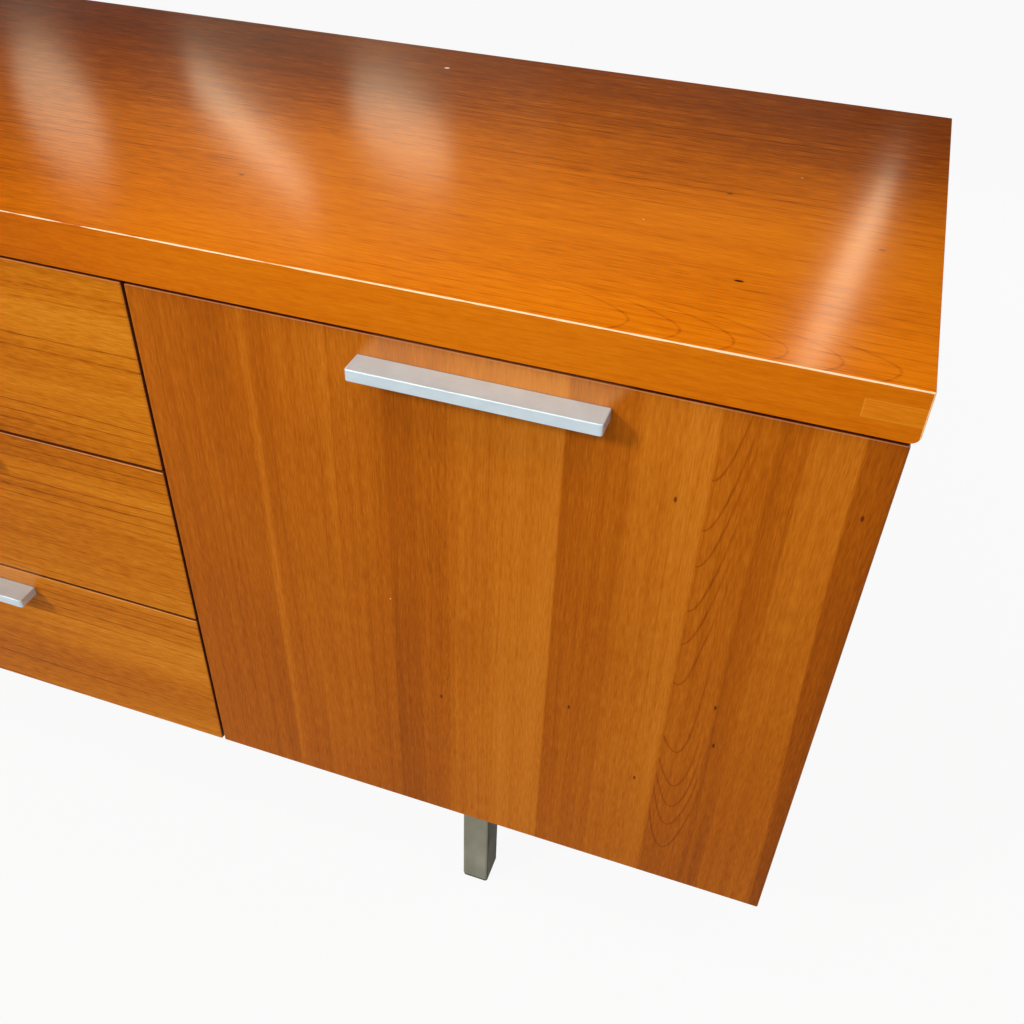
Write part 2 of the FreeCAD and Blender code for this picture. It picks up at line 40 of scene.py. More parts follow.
DOOR_MIDDLE = (DOOR_INNER + DOOR_OUTER) / 2
HANDLE_LOW, HANDLE_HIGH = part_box("door_handle_right")
HANDLE_HALF = (HANDLE_HIGH.x - HANDLE_LOW.x) / 2
DRAWER_HANDLE_TOPS = [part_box(f"drawer_{number}_handle")[1].z for number in (1, 2, 3)]

# Depth in which a face, a narrow edge and a worn corner still count as such
FACE_SKIN = 0.004
EDGE_SKIN = 0.002
CORNER_SKIN = 0.001

# Camera that takes the photo's view
CAMERA_PLACE = Vector((0.821203, -0.868797, 1.114638))
CAMERA_AIM = Vector((0.597311, -0.157827, 0.5))
CAMERA_ROLL = math.radians(2.285)
CAMERA_LENS = 37.192
CAMERA_SENSOR = 36.0


def paint(red, green, blue):
    """A colour as it is seen on a screen, 0 to 255, as the linear colour that shaders take."""
    channels = [value / 255 for value in (red, green, blue)]
    linear = [c / 12.92 if c <= 0.04045 else ((c + 0.055) / 1.055) ** 2.4 for c in channels]
    return (*linear, 1.0)


def grey(value):
    return (value, value, value, 1.0)


def set_stops(ramp, stops):
    """Gives a colour ramp its stops, each a place and a colour."""
    elements = ramp.color_ramp.elements
    while len(elements) < len(stops):
        elements.new(1.0)
    for element, (place, colour) in zip(elements, stops):
        element.position = place
        element.color = colour


class Graph:
    """The nodes of one material. A value may be a number, a colour or another node's output."""

    def __init__(self, name):
        self.material = bpy.data.materials.new(name)
        self.material.use_nodes = True
        self.tree = self.material.node_tree
        self.shader = self.tree.nodes["Principled BSDF"]
        coordinates = self.node("ShaderNodeTexCoord")
        split = self.node("ShaderNodeSeparateXYZ", Vector=coordinates.outputs["Object"])
        self.x, self.y, self.z = split.outputs
        facing = self.node("ShaderNodeSeparateXYZ", Vector=coordinates.outputs["Normal"])
        self.face_x, self.face_y, self.face_z = facing.outputs

    def feed(self, socket, value):
        if isinstance(value, bpy.types.NodeSocket):
            self.tree.links.new(value, socket)
        else:
            socket.default_value = value

    def node(self, kind, **values):
        made = self.tree.nodes.new(kind)
        for name, value in values.items():
            self.feed(made.inputs[name], value)
        return made

    def math(self, operation, *values):
        made = self.tree.nodes.new("ShaderNodeMath")
        made.operation = operation
        for socket, value in zip(made.inputs, values):
            self.feed(socket, value)
        return made.outputs[0]

    def add(self, first, *others):
        for other in others:
            first = self.math("ADD", first, other)
        return first

    def scaled(self, value, factor):
        return self.math("MULTIPLY", value, factor)

    def highest(self, values):
        first, *others = values
        for other in others:
            first = self.math("MAXIMUM", first, other)
        return first

    def fit(self, value, low, high, to_low=0.0, to_high=1.0, smooth=True):
        """A value's range low to high stretched to another range, and held at its ends."""
        made = self.tree.nodes.new("ShaderNodeMapRange")
        made.interpolation_type = "SMOOTHSTEP" if smooth else "LINEAR"
        for name, given in (("Value", value), ("From Min", low), ("From Max", high),
                            ("To Min", to_low), ("To Max", to_high)):
            self.feed(made.inputs[name], given)
        return made.outputs[0]

    def vector(self, x, y, z):
        made = self.node("ShaderNodeCombineXYZ", X=x, Y=y, Z=z)
        return made.outputs[0]

    def noise(self, vector, scale, detail=2.0, roughness=0.5):
        made = self.node("ShaderNodeTexNoise", Vector=vector, Scale=scale, Detail=detail, Roughness=roughness)
        return made.outputs["Fac"]

    def spots(self, vector, scale):
        """Distance from the nearest of many scattered points, and a random number for each point."""
        made = self.node("ShaderNodeTexVoronoi", Vector=vector, Scale=scale)
        made.voronoi_dimensions = "2D"
        split = self.node("ShaderNodeSeparateColor", Color=made.outputs["Color"])
        return made.outputs["Distance"], split.outputs[0]

    def ramp(self, value, stops):
        """A value as a colour, by stops of place and colour."""
        made = self.node("ShaderNodeValToRGB", Fac=value)
        set_stops(made, stops)
        return made.outputs["Color"]

    def mix(self, amount, first, second):
        made = self.tree.nodes.new("ShaderNodeMix")
        made.data_type = "RGBA"
        self.feed(made.inputs["Factor"], amount)
        self.feed([s for s in made.inputs if s.name == "A" and s.type == "RGBA"][0], first)
        self.feed([s for s in made.inputs if s.name == "B" and s.type == "RGBA"][0], second)
        return [s for s in made.outputs if s.type == "RGBA"][0]

    def bump(self, height, strength, distance):
        made = self.node("ShaderNodeBump", Height=height, Strength=strength, Distance=distance)
        self.feed(self.shader.inputs["Normal"], made.outputs[0])

    def finish(self, colour, roughness, **values):
        """Joins colour and roughness to the shader and sets its plain values."""
        self.feed(self.shader.inputs["Base Color"], colour)
        self.feed(self.shader.inputs["Roughness"], roughness)
        for name, value in values.items():
            self.shader.inputs[name.replace("_", " ")].default_value = value
        return self.material


# Wood
DOOR_PALETTE = [
    paint(112, 47, 4), paint(150, 73, 6), paint(181, 94, 10), paint(205, 118, 25), paint(223, 143, 53),
]
DRAWER_PALETTE = [
    paint(122, 56, 2), paint(163, 83, 2), paint(195, 108, 7), paint(212, 128, 21), paint(228, 150, 50),
]
TOP_PALETTE = [
    paint(78, 32, 4), paint(150, 68, 2), paint(208, 107, 2), paint(228, 129, 8), paint(244, 158, 36),
]
LIPPING_PALETTE = [
    paint(132, 58, 2), paint(172, 84, 2), paint(200, 101, 2), paint(214, 117, 8), paint(226, 136, 28),
]
PALETTE_PLACES = (0.0, 0.28, 0.5, 0.72, 1.0)
GUM = paint(72, 26, 8)
DING = paint(240, 200, 140)
# Pale worn edge, part wear and part painted highlight
WORN_EDGE_AND_HIGHLIGHT = paint(255, 232, 186)
# Painted highlight on the fronts' arrises, and painted shade for edges in gaps and behind handles
PAINTED_ARRIS_HIGHLIGHT = paint(224, 178, 148)
PAINTED_GAP_SHADE = paint(84, 36, 18)
GLUE_LINE = paint(226, 146, 44)
GLUE_END_HALF = 0.0006
GLUE_LOW_HALF = 0.0005
GLUE_HIGH_HALF = 0.0004
CHIP = paint(250, 242, 226)
# Painted reflection of light off each handle's top onto the front above it: its colour, reach above the
# handle, slant of its ends and strength
PAINTED_HANDLE_REFLECTION = paint(242, 174, 112)
GLOW_START = -0.001
GLOW_FULL = 0.012
GLOW_END = 0.034
GLOW_SLANT = 0.7
GLOW_INSET = 0.008
GLOW_OUTSET = 0.004
GLOW_STRENGTH = 0.26
CHERRY_ROUGHNESS = 0.36
CHERRY_SPECULAR = 0.04

# Door veneer leaves: share of the door's width where a leaf starts, tone at its start and at its end
DOOR_LEAVES = [
    (0.0, 0.49, 0.46), (0.165, 0.66, 0.56), (0.178, 0.48, 0.56), (0.27, 0.57, 0.50), (0.365, 0.40, 0.44),
    (0.41, 0.49, 0.48), (0.457, 0.58, 0.65), (0.53, 0.68, 0.72), (0.6126, 0.48, 0.53), (0.70, 0.62, 0.64),
    (0.76, 0.70, 0.69), (0.797, 0.55, 0.53), (0.862, 0.45, 0.48), (0.897, 0.60, 0.59), (0.957, 0.36, 0.34),
]
LEAF_STEP = 0.002
LAST_LEAF = 0.935
LAST_LEAF_SLANT = 0.028
SLANT_HEIGHTS = (0.15, 0.71)


def leaf_stops(leaves):
    """Ramp stops that step from leaf to leaf and drift within each leaf."""
    ends = [leaf[0] - LEAF_STEP for leaf in leaves[1:]] + [1.0]
    stops = []
    for (start, first, last), end in zip(leaves, ends):
        stops.append((start, grey(first)))
        stops.append((end, grey(last)))
    return stops


def lines_of(g, phase, sharp):
    """Dark growth lines where a phase passes whole numbers: a slow rise, then a quick fall."""
    part = g.math("FRACT", phase)
    return g.math("MINIMUM", g.fit(part, sharp, 0.95), g.fit(part, 0.95, 1.0, 1.0, 0.0))


def arcs(g, along, aside, bow, apexes, half, fade):
    """Thin arcs of a plain-sawn leaf: each turns at its apex and bows away along the grain."""
    field = g.math("SUBTRACT", along, g.scaled(g.math("MULTIPLY", aside, aside), bow))
    steep = g.scaled(aside, 2 * bow)
    stretch = g.math("SQRT", g.add(g.math("MULTIPLY", steep, steep), 1.0))
    lines = []
    for apex in apexes:
        distance = g.math("DIVIDE", g.math("ABSOLUTE", g.math("SUBTRACT", field, apex)), stretch)
        lines.append(g.fit(distance, half * 0.3, half * 1.7, 1.0, 0.0))
    return g.math("MULTIPLY", g.highest(lines), g.fit(g.math("ABSOLUTE", aside), *fade, 1.0, 0.0))


def flecks(g, across, along, scale, share, length, radius):
    """Small marks scattered over the wood, longer along the grain by a factor."""
    distance, chance = g.spots(g.vector(across, g.scaled(along, 1 / length), 0.0), scale)
    near = g.fit(distance, radius * 0.4, radius, 1.0, 0.0)
    return g.math("MULTIPLY", near, g.math("LESS_THAN", chance, share))


def mark_at(g, across, along, place, half_width, half_length):
    """One small oval mark at a place across and along the grain."""
    aside = g.scaled(g.math("SUBTRACT", across, place[0]), 1 / half_width)
    ahead = g.scaled(g.math("SUBTRACT", along, place[1]), 1 / half_length)
    reach = g.add(g.math("MULTIPLY", aside, aside), g.math("MULTIPLY", ahead, ahead))
    return g.fit(reach, 0.4, 1.0, 1.0, 0.0)


def stretched(g, across, along, depth, fine, long, detail, roughness=0.55):
    """Noise that is drawn out along the grain: features per metre across and along it."""
    place = g.vector(g.scaled(across, fine), g.scaled(along, long), g.scaled(depth, fine * 0.4))
    return g.math("SUBTRACT", g.noise(place, 1.0, detail, roughness), 0.5)


def growth_lines(g, across, along, depth, spacing, sway):
    """Thin lines along the grain, a spacing apart on average, that sway and come and go."""
    drift = stretched(g, across, along, depth, 9.0, 0.9, 2.0)
    phase = g.add(g.scaled(across, 1 / spacing), g.scaled(drift, sway))
    strength = stretched(g, across, along, depth, 0.4 / spacing, 1.5, 1.0)
    return g.math("MULTIPLY", lines_of(g, phase, 0.82), g.fit(strength, -0.16, 0.12))


def wood(g, across, along, depth, palette, tone, spacing, line, streak=0.4, fibre=0.6, grain=(900.0, 65.0)):
    """Cherry colour in grain directions, and its fibres.

    The tone is a place in the palette. Streaks, fibres, clouds and growth lines a spacing apart shift it by
    their strengths. The grain is how many fibres there are per metre across and along it.
    """
    sway = stretched(g, across, along, depth, 5.0, 1.6, 2.0)
    bent = g.add(across, g.scaled(sway, 0.014))
    growth = growth_lines(g, bent, along, depth, spacing, 4.0)
    streaks = stretched(g, bent, along, depth, 150.0, 2.2, 5.0, 0.7)
    fibres = stretched(g, bent, along, depth, *grain, 3.0, 0.65)
    clouds = stretched(g, across, along, depth, 9.0, 4.0, 3.0)
    total = g.add(
        tone, g.scaled(streaks, streak), g.scaled(fibres, fibre), g.scaled(clouds, 0.22),
        g.scaled(growth, -line),
    )
    return g.ramp(total, list(zip(PALETTE_PLACES, palette))), fibres


def marked(g, colour, across, along, gum_share):
    """A wood colour with gum flecks and a few pale dings."""
    gum = flecks(g, across, along, 16.0, gum_share, 2.2, 0.027)
    ding = flecks(g, along, across, 9.0, 0.1, 1.0, 0.009)
    return g.mix(ding, g.mix(g.scaled(gum, 0.8), colour, GUM), DING)


def polish(g, colour, fibres, roughness, **values):
    """Joins a wood colour to the shader, with pores that break its gloss."""
    g.bump(fibres, 0.25, 0.0004)
    return g.finish(colour, g.fit(fibres, -0.2, 0.2, roughness + 0.06, roughness - 0.06), **values)


def edged(g, colour):
    """A front's colour with a painted highlight on the arris round its face, and painted shade on the edges
    in the gaps behind it.
    """
    flat = g.math("ABSOLUTE", g.face_y)
    # Painted shade: edges facing the gaps between fronts, not the outer ends, darkened as if in shadow
    edge = g.math("MULTIPLY", g.fit(flat, 0.2, 0.55, 1.0, 0.0),
                  g.math("LESS_THAN", g.math("ABSOLUTE", g.x), DOOR_OUTER - EDGE_SKIN))
    # Painted highlight on the arris round the face, stronger where it faces up
    arris = g.math("MULTIPLY", g.fit(flat, 0.45, 0.6), g.fit(flat, 0.78, 0.92, 1.0, 0.0))
    arris = g.math("MULTIPLY", arris, g.fit(g.face_z, -0.2, 0.7, 0.08, 0.4))
    front = g.math("LESS_THAN", g.y, DOOR_FRONT + FACE_SKIN)
    colour = g.mix(g.scaled(edge, 0.85), colour, PAINTED_GAP_SHADE)
    return g.mix(g.math("MULTIPLY", arris, front), colour, PAINTED_ARRIS_HIGHLIGHT)


def band_at(g, value, middle, half):
    """One within half a width of a middle value, else zero."""
    return g.math("LESS_THAN", g.math("ABSOLUTE", g.math("SUBTRACT", value, middle)), half)


def painted_handle_reflection(g, aside, tops):
    """Painted reflection: a paler strip on a front above each handle, as light cast up off the handle's top,
    with slanted ends.
    """
    strips = []
    for top in tops:
        above = g.math("SUBTRACT", g.z, top)
        lean = g.math("ABSOLUTE", g.math("SUBTRACT", aside, g.scaled(above, GLOW_SLANT)))
        fading = g.fit(above, GLOW_FULL, GLOW_END, 1.0, 0.0)
        strip = g.math("MULTIPLY", g.fit(above, GLOW_START, 0.0), fading)
        ends = g.fit(lean, HANDLE_HALF - GLOW_INSET, HANDLE_HALF + GLOW_OUTSET, 1.0, 0.0)
        strips.append(g.math("MULTIPLY", strip, ends))
    front = g.math("LESS_THAN", g.y, DOOR_FRONT + FACE_SKIN)
    return g.scaled(g.math("MULTIPLY", g.highest(strips), front), GLOW_STRENGTH)


# Figure of the door's arched leaf and of its paler twin: heights of the arcs, and for each leaf the edge they
# spring from, the side they run to, the other edge and their strength
ARC_HEIGHTS = (0.656, 0.609, 0.573, 0.5255, 0.487, 0.439, 0.353, 0.304, 0.273, 0.245, 0.207)
ARCHED_LEAVES = [(0.776, 1.0, 0.836, 0.2), (0.574, -1.0, 0.52, 0.06)]
ARC_BOW = 165.0
ARC_HALF_WIDTH = 0.0008
ARC_FADE = (0.012, 0.034)
ARC_JITTER = 0.012
ARC_SHIFT = 0.018


def door_figure(g, reach):
    """Arcs that spring from one edge of a leaf and run up along it."""
    jitter = g.scaled(stretched(g, g.x, g.z, g.y, 14.0, 5.0, 2.0), ARC_JITTER)
    height = g.add(g.z, jitter)
    shift = g.fit(g.z, 0.27, 0.5, ARC_SHIFT, 0.0)
    figure = []
    for edge, side, end, strength in ARCHED_LEAVES:
        aside = g.math("SUBTRACT", g.scaled(g.math("SUBTRACT", reach, edge), side), shift)
        lines = arcs(g, height, aside, ARC_BOW, ARC_HEIGHTS, ARC_HALF_WIDTH, ARC_FADE)
        inside = band_at(g, reach, (edge + end) / 2, abs(end - edge) / 2)
        figure.append(g.scaled(g.math("MULTIPLY", lines, inside), strength))
    return g.add(*figure)


def door_cherry(name):
    """Door veneer: upright leaves of different tone, one with arched figure."""
    g = Graph(name)
    reach = g.math("ABSOLUTE", g.x)
    share = g.fit(reach, DOOR_INNER, DOOR_OUTER, smooth=False)
    lean = g.fit(g.z, *SLANT_HEIGHTS, LAST_LEAF_SLANT, 0.0)
    slant = g.math("MULTIPLY", g.math("GREATER_THAN", share, LAST_LEAF), lean)
    tone = g.ramp(g.math("SUBTRACT", share, slant), leaf_stops(DOOR_LEAVES))
    low = g.math("MULTIPLY", g.fit(g.z, 0.16, 0.42, 1.0, 0.0), g.fit(reach, 0.62, 0.88))
    tone = g.add(tone, g.scaled(low, -0.1), g.scaled(door_figure(g, reach), -1.0))
    colour, fibres = wood(g, g.x, g.z, g.y, DOOR_PALETTE, tone, 0.013, 0.07)
    colour = edged(g, marked(g, colour, g.x, g.z, 0.13))
    glow = painted_handle_reflection(g, g.math("SUBTRACT", reach, DOOR_MIDDLE), [HANDLE_HIGH.z])
    # Painted reflection of light off the handle's top, paling the front above it
    colour = g.mix(glow, colour, PAINTED_HANDLE_REFLECTION)
    return polish(g, colour, fibres, CHERRY_ROUGHNESS, Specular_IOR_Level=CHERRY_SPECULAR)


def drawer_cherry(name):
    """Drawer veneer with level grain."""
    g = Graph(name)
    band = stretched(g, g.z, g.x, g.y, 24.0, 0.8, 3.0)
    tone = g.add(g.fit(band, -0.2, 0.2, 0.42, 0.66), g.fit(g.x, 0.05, 0.3, -0.02, 0.1))
    colour, fibres = wood(g, g.z, g.x, g.y, DRAWER_PALETTE, tone, 0.012, 0.42, fibre=0.9, grain=(760.0, 60.0))
    colour = edged(g, marked(g, colour, g.z, g.x, 0.05))
    glow = painted_handle_reflection(g, g.x, DRAWER_HANDLE_TOPS)
    # Painted reflection of light off each handle's top, paling the front above it
    colour = g.mix(glow, colour, PAINTED_HANDLE_REFLECTION)
    return polish(g, colour, fibres, CHERRY_ROUGHNESS, Specular_IOR_Level=CHERRY_SPECULAR)


# Figure of the top near its front right corner
TOP_ARC_FIRST = 0.70
TOP_ARC_PITCH = 0.0355
TOP_ARC_COUNT = 6
TOP_ARC_BOW = 50.0
TOP_ARC_MIDDLE = -0.242
TOP_ARC_HALF_WIDTH = 0.001
TOP_ARC_FADE = (0.02, 0.055)
TOP_ARC_JITTER = 0.02

# A gum pocket and a chip in the polish: place across and along the grain, half width, half length
GUM_POCKET = ((-0.1537, 0.7608), 0.002, 0.0045)
POLISH_CHIP = ((0.2136, 0.3885), 0.0026, 0.0032)

# Tone of the top at its front and back, and what its left end adds: the darker back and left end are painted
# shade
TOP_FRONT_TONE = 0.55
TOP_BACK_PAINTED_SHADE_TONE = 0.25
TOP_LEFT_PAINTED_SHADE = -0.13

# Width of the worn front edge, painted pale as wear and as a painted highlight, at the left and right, and
# what its patches add
WORN_HIGHLIGHT_LEFT = 0.0003
WORN_HIGHLIGHT_RIGHT = 0.0007
WORN_HIGHLIGHT_PATCHES = 0.0005


def top_cherry(name):
    """Polished veneer of the top, with painted shade darkening it towards the back and the left end, and a
    worn front edge painted pale as wear and highlight.
    """
    g = Graph(name)
    # Painted shade: the top darkens towards the back and towards its left end
    painted_back_shade = g.fit(g.y, -0.1, TOP_BACK - 0.03, TOP_FRONT_TONE, TOP_BACK_PAINTED_SHADE_TONE)
    ground = g.add(painted_back_shade, g.fit(g.x, 0.0, 0.5, TOP_LEFT_PAINTED_SHADE, 0.0))
    jitter = g.scaled(stretched(g, g.y, g.x, g.z, 20.0, 7.0, 2.0), TOP_ARC_JITTER)
    aside = g.math("SUBTRACT", g.y, TOP_ARC_MIDDLE)
    against = g.add(g.scaled(g.x, -1.0), jitter)
    apexes = [-(TOP_ARC_FIRST + TOP_ARC_PITCH * index) for index in range(TOP_ARC_COUNT)]
    figure = arcs(g, against, aside, TOP_ARC_BOW, apexes, TOP_ARC_HALF_WIDTH, TOP_ARC_FADE)
    tone = g.add(ground, g.scaled(figure, -0.11))
    colour, fibres = wood(
        g, g.y, g.x, g.z, TOP_PALETTE, tone, 0.013, 0.13, streak=0.3, fibre=0.64, grain=(820.0, 38.0)
    )
    colour = marked(g, colour, g.y, g.x, 0.05)
    colour = g.mix(mark_at(g, g.y, g.x, *GUM_POCKET), colour, GUM)
    colour = g.mix(mark_at(g, g.y, g.x, *POLISH_CHIP), colour, CHIP)
    patch = g.noise(g.vector(g.scaled(g.x, 24.0), 0.0, 0.0), 1.0, 2.0)
    inward = g.math("SUBTRACT", g.y, TOP_FRONT)
    below = g.math("SUBTRACT", TOP_FACE, g.z)
    width = g.add(g.fit(patch, 0.3, 0.7, 0.0, WORN_HIGHLIGHT_PATCHES), g.fit(g.x, -0.2, 0.9, WORN_HIGHLIGHT_LEFT, WORN_HIGHLIGHT_RIGHT))
    # Worn front arris of the top, painted pale as wear and as a painted highlight
    edge = g.math("LESS_THAN", g.add(inward, g.scaled(below, 0.9)), width)
    colour = g.mix(g.scaled(edge, 0.7), colour, WORN_EDGE_AND_HIGHLIGHT)
    return polish(g, colour, fibres, 0.4, Specular_IOR_Level=0.0, Coat_Weight=0.25, Coat_Roughness=0.14)


def lipping_cherry(name):
    """Solid lipping, with the end of the tenon and its glue line on the front at each corner."""
    g = Graph(name)
    front = g.math("LESS_THAN", g.y, TOP_FRONT + EDGE_SKIN)
    reach = g.math("ABSOLUTE", g.x)
    end = g.math("MULTIPLY", front, g.math("GREATER_THAN", reach, TENON_START - GLUE_END_HALF))
    tenon = band_at(g, g.z, TENON_MIDDLE, TENON_HALF)
    border = g.highest([
        band_at(g, g.z, TENON_MIDDLE - TENON_HALF, GLUE_LOW_HALF),
        band_at(g, g.z, TENON_MIDDLE + TENON_HALF, GLUE_HIGH_HALF),
        g.math("MULTIPLY", band_at(g, reach, TENON_START, GLUE_END_HALF), tenon),
    ])
    tone = g.add(g.fit(g.x, 0.08, 0.45, 0.38, 0.67), g.fit(g.x, 0.6, 0.85, 0.0, -0.08))
    tone = g.add(tone, g.scaled(g.math("MULTIPLY", end, tenon), 0.16))
    colour, fibres = wood(g, g.z, g.x, g.y, LIPPING_PALETTE, tone, 0.011, 0.08, streak=0.35, fibre=0.6)
    colour = marked(g, colour, g.z, g.x, 0.04)
    colour = g.mix(g.scaled(g.math("MULTIPLY", border, end), 0.5), colour, GLUE_LINE)
    # Worn right-end corner of the front, painted pale as wear and as a painted highlight
    worn = g.math("MULTIPLY", front, g.math("GREATER_THAN", reach, TOP_END - CORNER_SKIN))
    colour = g.mix(g.scaled(worn, 0.6), colour, WORN_EDGE_AND_HIGHLIGHT)
    return polish(g, colour, fibres, CHERRY_ROUGHNESS, Specular_IOR_Level=CHERRY_SPECULAR)


def side_cherry(name):
    g = Graph(name)
    tone = g.fit(stretched(g, g.y, g.z, g.x, 9.0, 0.4, 1.0), -0.2, 0.2, 0.4, 0.6)
    colour, fibres = wood(g, g.y, g.z, g.x, DOOR_PALETTE, tone, 0.013, 0.12)
    return polish(g, marked(g, colour, g.y, g.z, 0.1), fibres, CHERRY_ROUGHNESS, Specular_IOR_Level=0.01)


def plain_wood(name, dark, light, grain, roughness):
    """Board, plywood or dowel in two tones. The grain names the axes across, along and into it."""
    g = Graph(name)
    axes = {"x": g.x, "y": g.y, "z": g.z}
    across, along, depth = (axes[letter] for letter in grain)
    coarse = g.vector(g.scaled(across, 60.0), g.scaled(along, 2.5), g.scaled(depth, 60.0))
    streaks = g.noise(coarse, 1.0, 4.0, 0.6)
    fine = g.vector(g.scaled(across, 600.0), g.scaled(along, 14.0), g.scaled(depth, 600.0))
    fibres = g.noise(fine, 1.0, 2.0)
    total = g.add(g.scaled(streaks, 0.7), g.scaled(fibres, 0.3))
    g.bump(fibres, 0.1, 0.0003)
    gloss = g.fit(fibres, 0.3, 0.7, roughness + 0.05, roughness)
    return g.finish(g.ramp(total, [(0.3, dark), (0.7, light)]), gloss, Specular_IOR_Level=0.1)


# Metal and plastic
ALUMINIUM = [(0.3, paint(196, 212, 220)), (0.7, paint(211, 228, 237))]
# Width of the painted contact shade along the back of each handle
HANDLE_CONTACT_SHADE = 0.0008
LEG_FRONT = [(0.3, paint(139, 138, 122)), (0.7, paint(164, 163, 147))]
# Painted shade for the legs' sideways faces
LEG_SIDE_PAINTED_SHADE = [(0.35, paint(38, 32, 22)), (0.65, paint(66, 58, 44))]
SCUFF = paint(74, 72, 64)


def brushed_aluminium(name):
    g = Graph(name)
    brush = g.noise(g.vector(g.scaled(g.x, 25.0), g.scaled(g.y, 2600.0), g.scaled(g.z, 2600.0)), 1.0, 3.0)
    cloud = g.noise(g.vector(g.x, g.y, g.z), 60.0, 2.0)
    mixed = g.add(g.scaled(brush, 0.5), g.scaled(cloud, 0.5))
    colour = g.ramp(mixed, ALUMINIUM)
    # Painted shade: a dark strip along the handle's back where it meets the front, as a contact shadow
    contact_shade = g.math("GREATER_THAN", g.y, DOOR_FRONT - HANDLE_CONTACT_SHADE)
    colour = g.mix(g.scaled(contact_shade, 0.7), colour, PAINTED_GAP_SHADE)
    g.bump(brush, 0.02, 0.00004)
    return g.finish(colour, g.fit(brush, 0.3, 0.7, 0.34, 0.28), Metallic=0.38, Anisotropic=0.3)


def leg_paint(name):
    """Grey paint, with painted shade darkening the legs' sides, and scuffed at the foot."""
    g = Graph(name)
    cloud = g.noise(g.vector(g.x, g.y, g.scaled(g.z, 0.4)), 45.0, 3.0)
    fine = g.noise(g.vector(g.x, g.y, g.z), 900.0, 2.0)
    mixed = g.add(g.scaled(cloud, 0.7), g.scaled(fine, 0.3))
    colour = g.ramp(mixed, LEG_FRONT)
    # Painted shade: faces that look sideways are darkened as if turned from the light
    side = g.fit(g.math("ABSOLUTE", g.face_x), 0.6, 0.9)
    colour = g.mix(g.scaled(side, 0.8), colour, g.ramp(cloud, LEG_SIDE_PAINTED_SHADE))
    scuff = g.math("MULTIPLY", g.fit(g.z, 0.004, 0.03, 1.0, 0.0), g.fit(cloud, 0.45, 0.6))
    colour = g.mix(g.scaled(scuff, 0.5), colour, SCUFF)
    g.bump(fine, 0.08, 0.0002)
    return g.finish(colour, g.fit(cloud, 0.3, 0.7, 0.62, 0.52), Specular_IOR_Level=0.05)


def speckled(name, dark, light, scale, roughness, metallic=0.0):
    """Plated steel or plastic: two near tones, a fine grain and uneven gloss."""
    g = Graph(name)
    cloud = g.noise(g.vector(g.x, g.y, g.z), scale, 3.0)
    fine = g.noise(g.vector(g.x, g.y, g.z), scale * 12, 2.0)
    colour = g.ramp(g.add(g.scaled(cloud, 0.7), g.scaled(fine, 0.3)), [(0.3, dark), (0.7, light)])
    g.bump(fine, 0.06, 0.0002)
    return g.finish(colour, g.fit(cloud, 0.3, 0.7, roughness + 0.08, roughness - 0.04), Metallic=metallic)


CARCASS = (paint(92, 50, 22), paint(124, 72, 34))
BIRCH = (paint(196, 164, 118), paint(222, 194, 150))
ZINC = (paint(150, 152, 152), paint(188, 190, 188))
MATERIALS = {
    "cherry_top": top_cherry("cherry_top"),
    "cherry_lipping": lipping_cherry("cherry_lipping"),
    "cherry_door": door_cherry("cherry_door"),
    "cherry_drawer": drawer_cherry("cherry_drawer"),
    "cherry_side": side_cherry("cherry_side"),
    "carcass_board": plain_wood("carcass_board", *CARCASS, "zxy", 0.5),
    "back_board": plain_wood("back_board", *CARCASS, "zxy", 0.6),
    "drawer_box_wood": plain_wood("drawer_box_wood", *BIRCH, "zyx", 0.5),
    "beech_dowel": plain_wood("beech_dowel", *BIRCH, "yzx", 0.6),
    "aluminium": brushed_aluminium("aluminium"),
    "leg_paint": leg_paint("leg_paint"),
    "glide_plastic": speckled("glide_plastic", paint(24, 24, 23), paint(42, 41, 39), 60.0, 0.55),
    "runner_steel": speckled("runner_steel", *ZINC, 40.0, 0.35, 0.9),
    "pivot_steel": speckled("pivot_steel", *ZINC, 60.0, 0.4, 0.9),
    "strike_steel": speckled("strike_steel", *ZINC, 80.0, 0.36, 0.9),
    "screw_steel": speckled("screw_steel", *ZINC, 120.0, 0.4, 0.9),
    "plated_pin": speckled("plated_pin", *ZINC, 120.0, 0.3, 0.9),
    "bush_nylon": speckled("bush_nylon", paint(206, 202, 190), paint(226, 222, 210), 90.0, 0.5),
    "catch_plastic": speckled("catch_plastic", paint(92, 58, 34), paint(112, 74, 46), 70.0, 0.5),
}


def dress_nodes():
    """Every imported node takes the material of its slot."""
    for subpart in frame["record"]["subparts"]:
        node = frame["nodes"][subpart["node"]]
        node.data.materials.clear()
        node.data.materials.append(MATERIALS[subpart["material_slot"]])


dress_nodes()


# Stage
FLOOR_HALF = 60.0
FLOOR_WHITE = 0.93
FLOOR_GREY = 0.55


